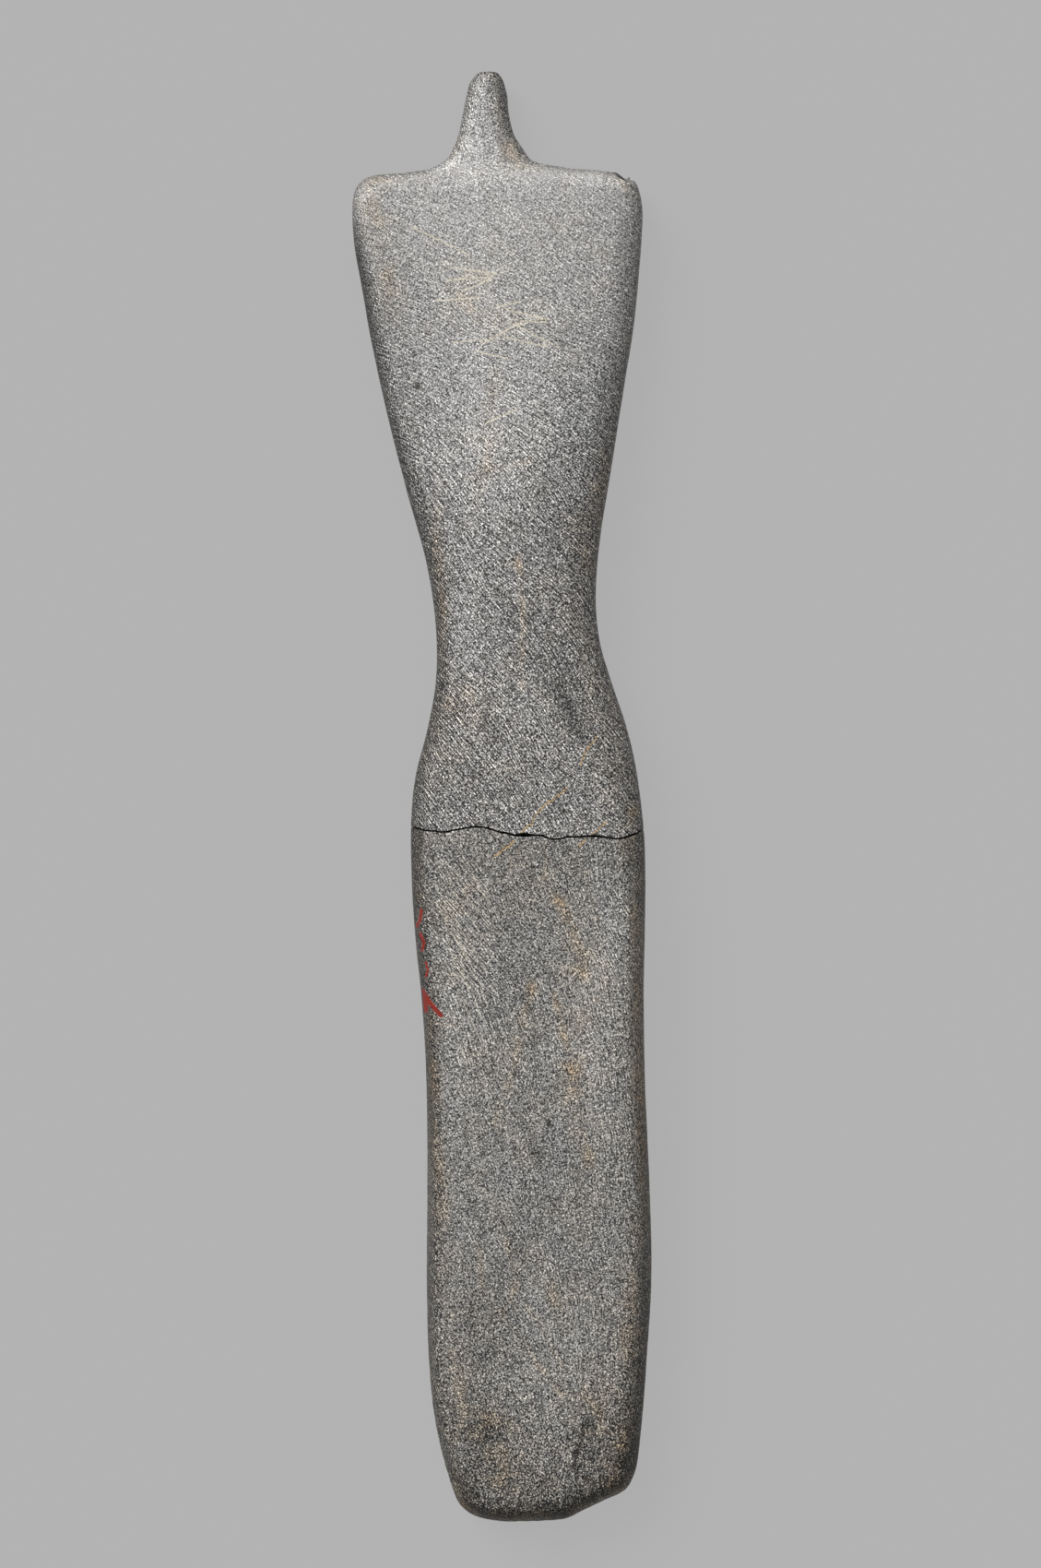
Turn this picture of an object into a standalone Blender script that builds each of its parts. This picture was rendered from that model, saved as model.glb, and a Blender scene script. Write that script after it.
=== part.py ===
"""A flat human figurine of dark grey stone, lying on its back.

It has a peg for a head, wide shoulders, a narrow waist and one long shaft for the legs. The stone broke
across the hips and was put together again, so it is two fragments that meet along the break.
The back lies on z = 0 and the head points along +Y. Units are metres.
"""

import bmesh
import bpy
import numpy as np
from mathutils import Matrix

for old in list(bpy.data.objects):
    bpy.data.objects.remove(old)

# Sizes of the whole figure
LENGTH = 0.2200
HEAD_THICKNESS = 0.0054
HEAD_LIFT = 0.0012
CHEST_THICKNESS = 0.0094
WAIST_THICKNESS = 0.0107
HIP_THICKNESS = 0.0124
FOOT_THICKNESS = 0.0092
FRONT_CROWN = 0.0006

# How far in from the outline the front and the back reach their full height
HEAD_EDGE = 0.0034
TORSO_LEFT_EDGE = 0.0036
TORSO_RIGHT_EDGE = 0.0046
SHAFT_LEFT_EDGE = 0.0014
SHAFT_RIGHT_EDGE = 0.0028
FOOT_EDGE = 0.0026
BACK_EDGE = 0.0025

# The break across the hips: its gap, how far it leans from front to back, and how far it bends the sections
BREAK_GAP = 0.0003
BREAK_LEAN = 0.0012
BREAK_REACH = 0.0120

# The chip off the right shoulder is an egg shape, this many times as tall as it is wide
CHIP_RADIUS = 0.0026
CHIP_STRETCH = 1.5

# The widest line lies this share of the way up from the back to the front
RIM_SHARE = 0.45

# Shares of the length between which the back leaves the ground towards the lifted head
LIFT_START = 0.89
LIFT_END = 0.96

# Points across the figure, crowded towards its edges by this share, and layers through the break
POINTS_ACROSS = 25
EDGE_CROWDING = 0.75
BREAK_LAYERS = 5

# Mean distance between the sections along the figure, crowded towards the tips by this power
SECTION_PITCH = 0.0021
TIP_CROWDING = 1.25

# Faces that meet at a greater angle than this, in degrees, keep a sharp edge in the shading
SHARP_ANGLE = 35

# The outline in thousandths of the length, from the head tip to the foot. Each row is one section:
# left edge (across, level), right edge (across, level), and how far its middle sags towards the foot
HEAD_AND_SHOULDERS = [
    (-2.2, 1000.0, -2.2, 1000.0, 0.0),
    (-9.2, 999.3, 3.4, 998.9, 0.0),
    (-14.9, 993.9, 6.6, 995.2, 0.0),
    (-18.2, 983.9, 9.3, 986.6, 0.0),
    (-22.0, 968.9, 10.7, 970.7, 0.0),
    (-24.8, 957.9, 13.6, 956.5, 0.0),
    (-28.0, 950.1, 19.5, 946.5, 0.5),
    (-33.1, 941.7, 25.5, 938.3, 2.7),
    (-40.0, 937.0, 31.4, 936.5, 5.9),
    (-61.4, 932.6, 52.3, 932.4, 14.5),
    (-85.5, 930.9, 75.5, 929.4, 25.5),
    (-92.3, 927.9, 89.1, 926.1, 30.9),
    (-96.8, 922.0, 95.9, 919.7, 31.8),
    (-99.1, 913.8, 99.3, 909.7, 30.0),
    (-99.8, 902.0, 100.3, 898.8, 25.5),
]
TORSO = [
    (-99.1, 882.3, 99.3, 884.1, 16.4),
    (-95.5, 857.3, 96.4, 856.9, 7.3),
    (-90.9, 823.7, 91.8, 823.7, 2.3),
    (-82.5, 775.4, 82.7, 775.4, 0.9),
    (-69.7, 716.2, 71.1, 716.2, 0.0),
    (-56.6, 659.7, 61.0, 659.7, 0.0),
    (-52.7, 629.7, 58.6, 629.7, 0.0),
    (-51.8, 603.7, 60.2, 604.6, 0.0),
    (-54.3, 575.1, 67.5, 575.6, 0.0),
    (-60.5, 546.9, 76.1, 546.9, 0.0),
    (-69.1, 517.7, 81.8, 519.5, 0.0),
]
BREAK_ROW = (-74.0, 480.7, 86.1, 473.8, 0.0)
SHAFT_AND_FOOT = [
    (-74.8, 446.9, 86.0, 445.4, 0.0),
    (-73.6, 409.0, 84.6, 406.7, 0.0),
    (-70.5, 356.6, 82.0, 356.6, 0.0),
    (-69.5, 299.7, 80.9, 299.7, 0.0),
    (-71.6, 226.9, 81.6, 226.9, 0.0),
    (-74.1, 163.1, 80.5, 163.1, 0.0),
    (-74.5, 111.8, 76.1, 112.2, 0.0),
    (-71.4, 70.8, 71.4, 72.1, 0.0),
    (-67.7, 49.4, 68.2, 48.0, 0.0),
    (-63.2, 31.1, 64.1, 29.3, 0.0),
    (-58.0, 15.2, 57.3, 18.8, 0.0),
    (-50.9, 7.5, 43.6, 12.7, 0.0),
    (-38.6, 2.4, 28.6, 6.3, 0.0),
    (-25.0, 0.3, 16.4, 0.9, 0.0),
    (-10.5, 0.0, -10.5, 0.0, 0.0),
]

# Where the break shows on the front, as (across, level) in thousandths of the length
BREAK_LINE = [
    (-80.0, 481.6),
    (-63.6, 479.0),
    (-49.5, 477.3),
    (-35.6, 479.0),
    (-25.5, 479.3),
    (-11.0, 475.3),
    (0.3, 472.7),
    (13.6, 472.5),
    (24.0, 469.5),
    (34.5, 470.9),
    (52.9, 470.2),
    (70.0, 468.6),
    (79.0, 470.9),
    (92.0, 475.5),
]

# The chip's middle, as (across, level) in thousandths of the length, just off the shoulder's corner
CHIP_PLACE = (93.2, 928.8)


def between(knots, values, slopes, at):
    """Smooth curve through the values at the knots: cubic pieces with the given slopes at their ends."""
    piece = np.clip(np.searchsorted(knots, at) - 1, 0, len(knots) - 2)
    step = knots[piece + 1] - knots[piece]
    share = np.clip((at - knots[piece]) / step, 0.0, 1.0)
    if values.ndim > 1:
        share, step = share[:, None], step[:, None]
    start = values[piece] * (1 + 2 * share) * (1 - share) ** 2
    end = values[piece + 1] * (3 - 2 * share) * share**2
    bend = step * share * (1 - share) * (slopes[piece] * (1 - share) - slopes[piece + 1] * share)
    return start + end + bend


def steady(knots, values, at):
    """Curve through the values that never swings past them: its slope is nil at a peak or a flat stretch."""
    knots, values = np.array(knots), np.array(values)
    chords = np.diff(values) / np.diff(knots)
    together = chords[:-1] * chords[1:]
    rising_on = together > 0
    slopes = np.zeros(len(values))
    slopes[1:-1][rising_on] = 2 * together[rising_on] / (chords[:-1] + chords[1:])[rising_on]
    return between(knots, values, slopes, at)


def sections(rows, meeting_row, pitch):
    """Left edge, right edge and sag of the sections from each tip to the row where the fragments meet."""
    rows = np.array(rows) * LENGTH / 1000
    left_steps = np.linalg.norm(np.diff(rows[:, 0:2], axis=0), axis=1)
    right_steps = np.linalg.norm(np.diff(rows[:, 2:4], axis=0), axis=1)
    travelled = np.concatenate([[0.0], np.cumsum((left_steps + right_steps) / 2)])
    slopes = np.gradient(rows, travelled, axis=0)
    stretches = []
    for tip in (0, -1):
        stretch = travelled[meeting_row] - travelled[tip]
        shares = np.linspace(0.0, 1.0, round(abs(stretch) / pitch) + 1) ** TIP_CROWDING
        stops = travelled[tip] + stretch * shares
        stretches.append(between(travelled, rows, slopes, stops))
    return stretches


def by_level(level, profile):
    """Value at a level (in metres above the foot) of a profile given as (share of the length, value)."""
    shares, values = zip(*sorted(profile))
    return steady(shares, values, np.clip(level / LENGTH, shares[0], shares[-1]))


def front_height(level):
    """Height of the front above the ground."""
    return by_level(
        level,
        [
            (0.00, FOOT_THICKNESS),
            (0.05, FOOT_THICKNESS * 1.06),
            (0.15, (FOOT_THICKNESS + HIP_THICKNESS) / 2),
            (0.40, HIP_THICKNESS),
            (0.52, HIP_THICKNESS * 0.98),
            (0.62, WAIST_THICKNESS),
            (0.78, (WAIST_THICKNESS + CHEST_THICKNESS) / 2),
            (0.88, CHEST_THICKNESS),
            (0.915, CHEST_THICKNESS * 0.96),
            (0.937, HEAD_LIFT + HEAD_THICKNESS * 1.06),
            (0.96, HEAD_LIFT + HEAD_THICKNESS),
            (1.00, HEAD_LIFT + HEAD_THICKNESS * 0.92),
        ],
    )


def back_height(level):
    """Height of the back above the ground: the head is lifted, the rest lies flat."""
    lifted = np.clip((level / LENGTH - LIFT_START) / (LIFT_END - LIFT_START), 0.0, 1.0)
    return HEAD_LIFT * lifted**2 * (3 - 2 * lifted)


def front_edge(level, side):
    """Width of the sloping edge of the front, where side runs from 0 at the left to 1 at the right."""
    torso = [(0.50, 0.95), (0.62, 1.0), (0.90, 1.0)]
    left = [(share, factor * TORSO_LEFT_EDGE) for share, factor in torso]
    right = [(share, factor * TORSO_RIGHT_EDGE) for share, factor in torso]
    head = [(0.945, HEAD_EDGE), (1.0, HEAD_EDGE)]
    foot = [(0.0, FOOT_EDGE), (0.02, FOOT_EDGE)]
    left += head + foot + [(0.08, SHAFT_LEFT_EDGE), (0.40, SHAFT_LEFT_EDGE)]
    right += head + foot + [(0.08, SHAFT_RIGHT_EDGE), (0.40, SHAFT_RIGHT_EDGE)]
    return by_level(level, left) * (1 - side) + by_level(level, right) * side


def roundness(level):
    """2 is a round edge, as on the head and torso, and nearer 1 is a straight bevel, as on the shaft."""
    return by_level(level, [(0.0, 1.4), (0.40, 1.5), (0.55, 2.0), (1.0, 2.0)])


def rise(inward, width, power):
    """Share of the full height at a distance in from the outline: 0 on it, and 1 from the edge's width on."""
    share = np.clip(inward / width, 0.0, 1.0)
    return (1 - (1 - share) ** power) ** (1 / power)


def distance_to(outline, points):
    """Distance from each point to the nearest stretch of the closed outline."""
    starts = outline
    runs = np.roll(outline, -1, axis=0) - starts
    offsets = points[:, None, :] - starts
    along = (offsets * runs).sum(2) / np.maximum((runs**2).sum(1), 1e-18)
    nearest = offsets - np.clip(along, 0.0, 1.0)[:, :, None] * runs
    return np.sqrt((nearest**2).sum(2).min(1))


def break_level(across, height):
    """Level of the broken surface: the wavy line on the front, leaning a little towards the back."""
    line = np.array(BREAK_LINE) * LENGTH / 1000
    lean = BREAK_LEAN * (height / HIP_THICKNESS - 1)
    return steady(line[:, 0], line[:, 1], across) + lean


def follow_break(across, level, height, row_level, gap):
    """Level of points near the break, drawn to its wavy surface within BREAK_REACH of it."""
    nearness = np.clip(1 - np.abs(level - row_level) / BREAK_REACH, 0.0, 1.0)
    pull = nearness**2 * (3 - 2 * nearness)
    return level + pull * (break_level(across, height) + gap - row_level)


def surface(rows, outline, gap):
    """Front and back points of every section, each an array of rows by POINTS_ACROSS by 3."""
    even = np.linspace(0.0, 1.0, POINTS_ACROSS)
    side = EDGE_CROWDING * (1 - np.cos(np.pi * even)) / 2 + (1 - EDGE_CROWDING) * even
    left, right, sag = rows[:, None, 0:2], rows[:, None, 2:4], rows[:, 4:5]
    plan = left + (right - left) * side[None, :, None]
    across = plan[:, :, 0]
    level = plan[:, :, 1] - sag * 4 * side * (1 - side)
    flat = np.stack([across, level], axis=2).reshape(-1, 2)
    inward = distance_to(outline, flat).reshape(across.shape)
    inward[:, [0, -1]] = 0.0
    back = back_height(level)
    front = front_height(level)
    rim = back + RIM_SHARE * (front - back)
    front_rise = rise(inward, front_edge(level, side), roundness(level))
    crown = FRONT_CROWN * 4 * side * (1 - side) * front_rise
    front = rim + (front - rim) * front_rise + crown
    back = rim + (back - rim) * rise(inward, BACK_EDGE, 2.0)
    break_ends = np.array(BREAK_ROW) * LENGTH / 1000
    row_level = break_ends[1] + (break_ends[3] - break_ends[1]) * side
    return [
        np.stack([across, follow_break(across, level, height, row_level, gap), height], axis=2)
        for height in (front, back)
    ]


def fragment_mesh(name, front, back, gap):
    """A closed mesh: the first row is the rounded tip, the last one lies on the break and is capped there."""
    count = POINTS_ACROSS
    loops = np.concatenate([front[1:], back[1:, -2:0:-1]], axis=1)
    row_count, loop_size = loops.shape[:2]
    tip = front[0, 0]

    # The cap's inner points, in layers from the back to the front
    shares = np.linspace(0.0, 1.0, BREAK_LAYERS + 1)[1:-1]
    across = np.repeat(front[-1, 1:-1, 0][:, None], len(shares), axis=1)
    heights = back[-1, 1:-1, 2][:, None] * (1 - shares) + front[-1, 1:-1, 2][:, None] * shares
    cap = np.stack([across, break_level(across, heights) + gap, heights], axis=2)
    points = np.concatenate([tip[None], loops.reshape(-1, 3), cap.reshape(-1, 3)])

    faces = []
    for k in range(loop_size):
        following = (k + 1) % loop_size
        faces.append((0, 1 + k, 1 + following))
        for row in range(row_count - 1):
            here = 1 + row * loop_size
            below = here + loop_size
            faces.append((here + k, below + k, below + following, here + following))

    # Columns of the cap, each from the back through the inner points to the front
    last = 1 + (row_count - 1) * loop_size
    inner = 1 + row_count * loop_size
    columns = []
    for k in range(1, count - 1):
        first = inner + (k - 1) * len(shares)
        columns.append([last + loop_size - k, *range(first, first + len(shares)), last + k])
    for left, right in zip(columns, columns[1:]):
        for low in range(BREAK_LAYERS):
            faces.append((left[low], right[low], right[low + 1], left[low + 1]))
    for column, corner in ((columns[0], last), (columns[-1], last + count - 1)):
        for low in range(BREAK_LAYERS):
            faces.append((corner, column[low], column[low + 1]))

    mesh = bpy.data.meshes.new(name)
    mesh.from_pydata(points.tolist(), [], faces)
    shape = bmesh.new()
    shape.from_mesh(mesh)
    bmesh.ops.recalc_face_normals(shape, faces=shape.faces)
    shape.to_mesh(mesh)
    shape.free()
    return mesh


def stone(name, colour, roughness):
    material = bpy.data.materials.new(name)
    material.use_nodes = True
    shader = material.node_tree.nodes["Principled BSDF"]
    shader.inputs["Base Color"].default_value = (*colour, 1.0)
    shader.inputs["Roughness"].default_value = roughness
    shader.inputs["Metallic"].default_value = 0.0
    return material


def add_object(name, mesh, material, collection):
    obj = bpy.data.objects.new(name, mesh)
    collection.objects.link(obj)
    mesh.materials.append(material)
    mesh.shade_smooth()
    mesh.set_sharp_from_angle(angle=np.radians(SHARP_ANGLE))
    return obj


def chip_cutter(centre, collection):
    """The egg shape that bites the corner off the right shoulder."""
    shape = bmesh.new()
    placed = Matrix.Translation(centre) @ Matrix.Diagonal((1.0, 1.0, CHIP_STRETCH, 1.0))
    bmesh.ops.create_icosphere(shape, subdivisions=3, radius=CHIP_RADIUS, matrix=placed)
    mesh = bpy.data.meshes.new("shoulder_chip")
    shape.to_mesh(mesh)
    shape.free()
    cutter = bpy.data.objects.new("shoulder_chip", mesh)
    cutter.hide_render = True
    cutter.display_type = "WIRE"
    collection.objects.link(cutter)
    return cutter


figurine = bpy.data.collections.new("human_figurine")
cutters = bpy.data.collections.new("cutters")
cutters.hide_render = True
bpy.context.scene.collection.children.link(figurine)
bpy.context.scene.collection.children.link(cutters)

# Both fragments take their heights from the outline of the whole figure, so they match along the break
above_break = HEAD_AND_SHOULDERS + TORSO
all_rows = above_break + [BREAK_ROW] + SHAFT_AND_FOOT
upper, lower = sections(all_rows, len(above_break), SECTION_PITCH)
edge_rows = np.concatenate([upper, lower[-2::-1]])
outline = np.concatenate([edge_rows[:, 0:2], edge_rows[-2:0:-1, 2:4]])
middle = (outline.min(axis=0) + outline.max(axis=0)) / 2

objects = {}
for name, rows, gap, material in (
    ("upper_fragment", upper, BREAK_GAP / 2, stone("grey_stone", (0.150, 0.152, 0.160), 0.62)),
    ("lower_fragment", lower, -BREAK_GAP / 2, stone("dark_grey_stone", (0.115, 0.115, 0.122), 0.58)),
):
    front, back = surface(rows, outline, gap)
    mesh = fragment_mesh(name, front, back, gap)
    mesh.transform(Matrix.Translation((-middle[0], -middle[1], 0.0)))
    objects[name] = add_object(name, mesh, material, figurine)

chip_across, chip_level = np.array(CHIP_PLACE) * LENGTH / 1000 - middle
chip_height = RIM_SHARE * CHEST_THICKNESS + CHIP_RADIUS
chip = objects["upper_fragment"].modifiers.new("shoulder_chip", "BOOLEAN")
chip.operation = "DIFFERENCE"
chip.object = chip_cutter((chip_across, chip_level, chip_height), cutters)
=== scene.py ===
"""Human figurine of grey schist, lying on its back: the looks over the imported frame.

The figurine is one carved stone that broke across the hips and was put together again, so it has two
pieces. The head points along +Y, the front faces up, and the back lies on z = 0. Lengths are in
millimetres while a surface is worked out, and in metres in the scene.
"""

from itertools import product

import bpy
import numpy as np
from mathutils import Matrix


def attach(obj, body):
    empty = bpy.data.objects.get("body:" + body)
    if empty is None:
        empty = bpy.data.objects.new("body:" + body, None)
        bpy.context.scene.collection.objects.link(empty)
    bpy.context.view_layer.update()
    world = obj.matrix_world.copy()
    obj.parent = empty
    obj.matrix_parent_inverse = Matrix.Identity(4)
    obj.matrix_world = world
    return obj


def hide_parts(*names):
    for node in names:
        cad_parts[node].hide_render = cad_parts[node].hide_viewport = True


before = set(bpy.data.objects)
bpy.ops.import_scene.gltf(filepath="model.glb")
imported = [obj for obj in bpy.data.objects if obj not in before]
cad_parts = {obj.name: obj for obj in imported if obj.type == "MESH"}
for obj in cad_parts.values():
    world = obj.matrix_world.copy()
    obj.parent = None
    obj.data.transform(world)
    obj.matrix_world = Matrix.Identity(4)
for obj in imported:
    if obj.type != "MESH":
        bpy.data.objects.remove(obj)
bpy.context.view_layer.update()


# The studio: a pale floor that glows faintly, as a lit table does, one large soft lamp from the upper
# left of the photograph, and even light from all round. The camera looks straight down, turned by the
# two degrees that the figurine leans in the photograph.
CAMERA_PLACE = (0.00048, 0.00172, 0.665)
CAMERA_TURN = -2.0
FLOOR_GREY = 0.04
FLOOR_GLOW = 0.404
LAMP_STRENGTH = 3.7
LAMP_FROM = (-0.50, 0.58, 0.64)
LAMP_SPREAD = 40.0
ROOM_STRENGTH = 0.42

floor_points = [(-3.0, -3.0, 0.0), (3.0, -3.0, 0.0), (3.0, 3.0, 0.0), (-3.0, 3.0, 0.0)]
floor_mesh = bpy.data.meshes.new("floor")
floor_mesh.from_pydata(floor_points, [], [(0, 1, 2, 3)])
floor = bpy.data.objects.new("floor", floor_mesh)
bpy.context.scene.collection.objects.link(floor)
floor_paper = bpy.data.materials.new("floor_paper")
floor_paper.use_nodes = True
floor_shader = floor_paper.node_tree.nodes["Principled BSDF"]
floor_shader.inputs["Base Color"].default_value = (FLOOR_GREY, FLOOR_GREY, FLOOR_GREY, 1.0)
floor_shader.inputs["Roughness"].default_value = 1.0
floor_shader.inputs["Specular IOR Level"].default_value = 0.0
floor_shader.inputs["Emission Color"].default_value = (1.0, 1.0, 1.0, 1.0)
floor_shader.inputs["Emission Strength"].default_value = FLOOR_GLOW
floor_mesh.materials.append(floor_paper)

room = bpy.data.worlds.new("studio_room")
room.use_nodes = True
room.node_tree.nodes["Background"].inputs["Color"].default_value = (1.0, 1.0, 1.0, 1.0)
room.node_tree.nodes["Background"].inputs["Strength"].default_value = ROOM_STRENGTH
bpy.context.scene.world = room

lamp_data = bpy.data.lights.new("soft_lamp", "SUN")
lamp_data.energy = LAMP_STRENGTH
lamp_data.angle = np.radians(LAMP_SPREAD)
lamp = bpy.data.objects.new("soft_lamp", lamp_data)
bpy.context.scene.collection.objects.link(lamp)
lamp.location = LAMP_FROM
across, along, above = LAMP_FROM
lamp.rotation_euler = (np.arctan2(np.hypot(across, along), above), 0.0, np.arctan2(across, -along))

camera_data = bpy.data.cameras.new("camera")
camera_data.sensor_fit = "VERTICAL"
camera_data.sensor_height = 36.0
camera_data.lens = 100.0
camera_data.clip_start = 0.05
camera_data.clip_end = 20.0
camera = bpy.data.objects.new("camera", camera_data)
bpy.context.scene.collection.objects.link(camera)
camera.location = CAMERA_PLACE
camera.rotation_euler = (0.0, 0.0, np.radians(CAMERA_TURN))
bpy.context.scene.camera = camera
bpy.context.scene.view_settings.view_transform = "Standard"


# The upper fragment: peg head, neck, wide shoulders, waist and the top of the hips, down to the break.
# It was pecked and ground out of a flat piece of schist, then rubbed smooth with grit, which left the
# fine slanting scratches. The shape of the whole stone is worked out first, then cut at the break.
LENGTH = 220.0
HEAD_THICKNESS = 5.4
HEAD_LIFT = 1.2
CHEST_THICKNESS = 9.4
WAIST_THICKNESS = 10.7
HIP_THICKNESS = 12.4
FOOT_THICKNESS = 9.2
FRONT_CROWN = 0.6
HEAD_EDGE = 3.4
TORSO_LEFT_EDGE = 3.6
TORSO_RIGHT_EDGE = 4.6
SHAFT_LEFT_EDGE = 1.4
SHAFT_RIGHT_EDGE = 2.8
FOOT_EDGE = 2.6
BACK_EDGE = 2.5
BREAK_GAP = 0.3
BREAK_LEAN = 1.2
BREAK_REACH = 12.0
RIM_SHARE = 0.45
LIFT_START = 0.89
LIFT_END = 0.96
LIP_REACH = 1.2
CROWDING = 0.45

# The outline in thousandths of the length. Each row is one section: left edge (across, level), right
# edge (across, level), and how far its middle sags towards the foot
HEAD_AND_SHOULDERS = [
    (-2.2, 1000.0, -2.2, 1000.0, 0.0),
    (-9.2, 999.3, 3.4, 998.9, 0.0),
    (-14.9, 993.9, 6.6, 995.2, 0.0),
    (-18.2, 983.9, 9.3, 986.6, 0.0),
    (-22.0, 968.9, 10.7, 970.7, 0.0),
    (-24.8, 957.9, 13.6, 956.5, 0.0),
    (-28.0, 950.1, 19.5, 946.5, 0.5),
    (-33.1, 941.7, 25.5, 938.3, 2.7),
    (-40.0, 937.0, 31.4, 936.5, 5.9),
    (-61.4, 932.6, 52.3, 932.4, 14.5),
    (-85.5, 930.9, 75.5, 929.4, 25.5),
    (-92.3, 927.9, 89.1, 926.1, 30.9),
    (-96.8, 922.0, 95.9, 919.7, 31.8),
    (-99.1, 913.8, 99.3, 909.7, 30.0),
    (-99.8, 902.0, 100.3, 898.8, 25.5),
]
TORSO = [
    (-99.1, 882.3, 99.3, 884.1, 16.4),
    (-95.5, 857.3, 96.4, 856.9, 7.3),
    (-90.9, 823.7, 91.8, 823.7, 2.3),
    (-82.5, 775.4, 82.7, 775.4, 0.9),
    (-69.7, 716.2, 71.1, 716.2, 0.0),
    (-56.6, 659.7, 61.0, 659.7, 0.0),
    (-52.7, 629.7, 58.6, 629.7, 0.0),
    (-51.8, 603.7, 60.2, 604.6, 0.0),
    (-54.3, 575.1, 67.5, 575.6, 0.0),
    (-60.5, 546.9, 76.1, 546.9, 0.0),
    (-69.1, 517.7, 81.8, 519.5, 0.0),
]
BREAK_ROW = (-74.0, 480.7, 86.1, 473.8, 0.0)
SHAFT_AND_FOOT = [
    (-74.8, 446.9, 86.0, 445.4, 0.0),
    (-73.6, 409.0, 84.6, 406.7, 0.0),
    (-70.5, 356.6, 82.0, 356.6, 0.0),
    (-69.5, 299.7, 80.9, 299.7, 0.0),
    (-71.6, 226.9, 81.6, 226.9, 0.0),
    (-74.1, 163.1, 80.5, 163.1, 0.0),
    (-74.5, 111.8, 76.1, 112.2, 0.0),
    (-71.4, 70.8, 71.4, 72.1, 0.0),
    (-67.7, 49.4, 68.2, 48.0, 0.0),
    (-63.2, 31.1, 64.1, 29.3, 0.0),
    (-58.0, 15.2, 57.3, 18.8, 0.0),
    (-50.9, 7.5, 43.6, 12.7, 0.0),
    (-38.6, 2.4, 28.6, 6.3, 0.0),
    (-25.0, 0.3, 16.4, 0.9, 0.0),
    (-10.5, 0.0, -10.5, 0.0, 0.0),
]

# Where the break shows on the front, as (across, level) in thousandths of the length
BREAK_LINE = [
    (-80.0, 481.6),
    (-63.6, 479.0),
    (-49.5, 477.3),
    (-35.6, 479.0),
    (-25.5, 479.3),
    (-11.0, 475.3),
    (0.3, 472.7),
    (13.6, 472.5),
    (24.0, 469.5),
    (34.5, 470.9),
    (52.9, 470.2),
    (70.0, 468.6),
    (79.0, 470.9),
    (92.0, 475.5),
]


def between(knots, values, slopes, at):
    """Smooth curve through the values at the knots: cubic pieces with the given slopes at their ends."""
    piece = np.clip(np.searchsorted(knots, at) - 1, 0, len(knots) - 2)
    step = knots[piece + 1] - knots[piece]
    share = np.clip((at - knots[piece]) / step, 0.0, 1.0)
    if values.ndim > 1:
        share, step = share[:, None], step[:, None]
    start = values[piece] * (1 + 2 * share) * (1 - share) ** 2
    end = values[piece + 1] * (3 - 2 * share) * share**2
    bend = step * share * (1 - share) * (slopes[piece] * (1 - share) - slopes[piece + 1] * share)
    return start + end + bend


def steady(knots, values, at):
    """Curve through the values that never swings past them: its slope is nil at a peak or a flat stretch."""
    knots, values = np.array(knots), np.array(values)
    chords = np.diff(values) / np.diff(knots)
    together = chords[:-1] * chords[1:]
    rising_on = together > 0
    slopes = np.zeros(len(values))
    slopes[1:-1][rising_on] = 2 * together[rising_on] / (chords[:-1] + chords[1:])[rising_on]
    return between(knots, values, slopes, at)


def soft_step(start, end, value):
    """0 before start, 1 after end, and the smooth curve 3s^2 - 2s^3 of the share s between them."""
    share = np.clip((value - start) / (end - start), 0.0, 1.0)
    return share * share * (3 - 2 * share)


def waves(points, size, seed):
    """Smooth random field from -1 to 1: random values on a cubic lattice of that size, in millimetres,
    blended between the eight nearest lattice points by the smooth step of each coordinate."""
    values = np.random.default_rng(seed).uniform(-1.0, 1.0, (32, 32, 32))
    place = points / size
    low = np.floor(place).astype(int)
    share = place - low
    share = share * share * (3 - 2 * share)
    total = np.zeros(points.shape[:-1])
    for corner in product((0, 1), repeat=3):
        weight = np.where(np.array(corner) == 1, share, 1 - share).prod(axis=-1)
        index = (low + corner) % 32
        total += weight * values[index[..., 0], index[..., 1], index[..., 2]]
    return total


def section_rows(rows, meeting_row, count, towards_head):
    """Left edge, right edge and sag of the sections from one tip to the row where the fragments meet.
    They lie closest together at the tip and at the break: the share s of the way becomes s minus a sine."""
    rows = np.array(rows) * LENGTH / 1000
    left_steps = np.linalg.norm(np.diff(rows[:, 0:2], axis=0), axis=1)
    right_steps = np.linalg.norm(np.diff(rows[:, 2:4], axis=0), axis=1)
    travelled = np.concatenate([[0.0], np.cumsum((left_steps + right_steps) / 2)])
    slopes = np.gradient(rows, travelled, axis=0)
    even = np.linspace(0.0, 1.0, count)
    shares = even - 0.35 * np.sin(2 * np.pi * even) / (2 * np.pi)
    shares = shares * soft_step(-0.04, 0.04, even)
    start = travelled[0] if towards_head else travelled[-1]
    return between(travelled, rows, slopes, start + (travelled[meeting_row] - start) * shares)


def by_level(level, profile):
    """Value at a level, in millimetres above the foot, of a profile given as (share of the length, value)."""
    shares, values = zip(*sorted(profile))
    flat = np.clip(np.ravel(level) / LENGTH, shares[0], shares[-1])
    return steady(shares, values, flat).reshape(np.shape(level))


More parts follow.
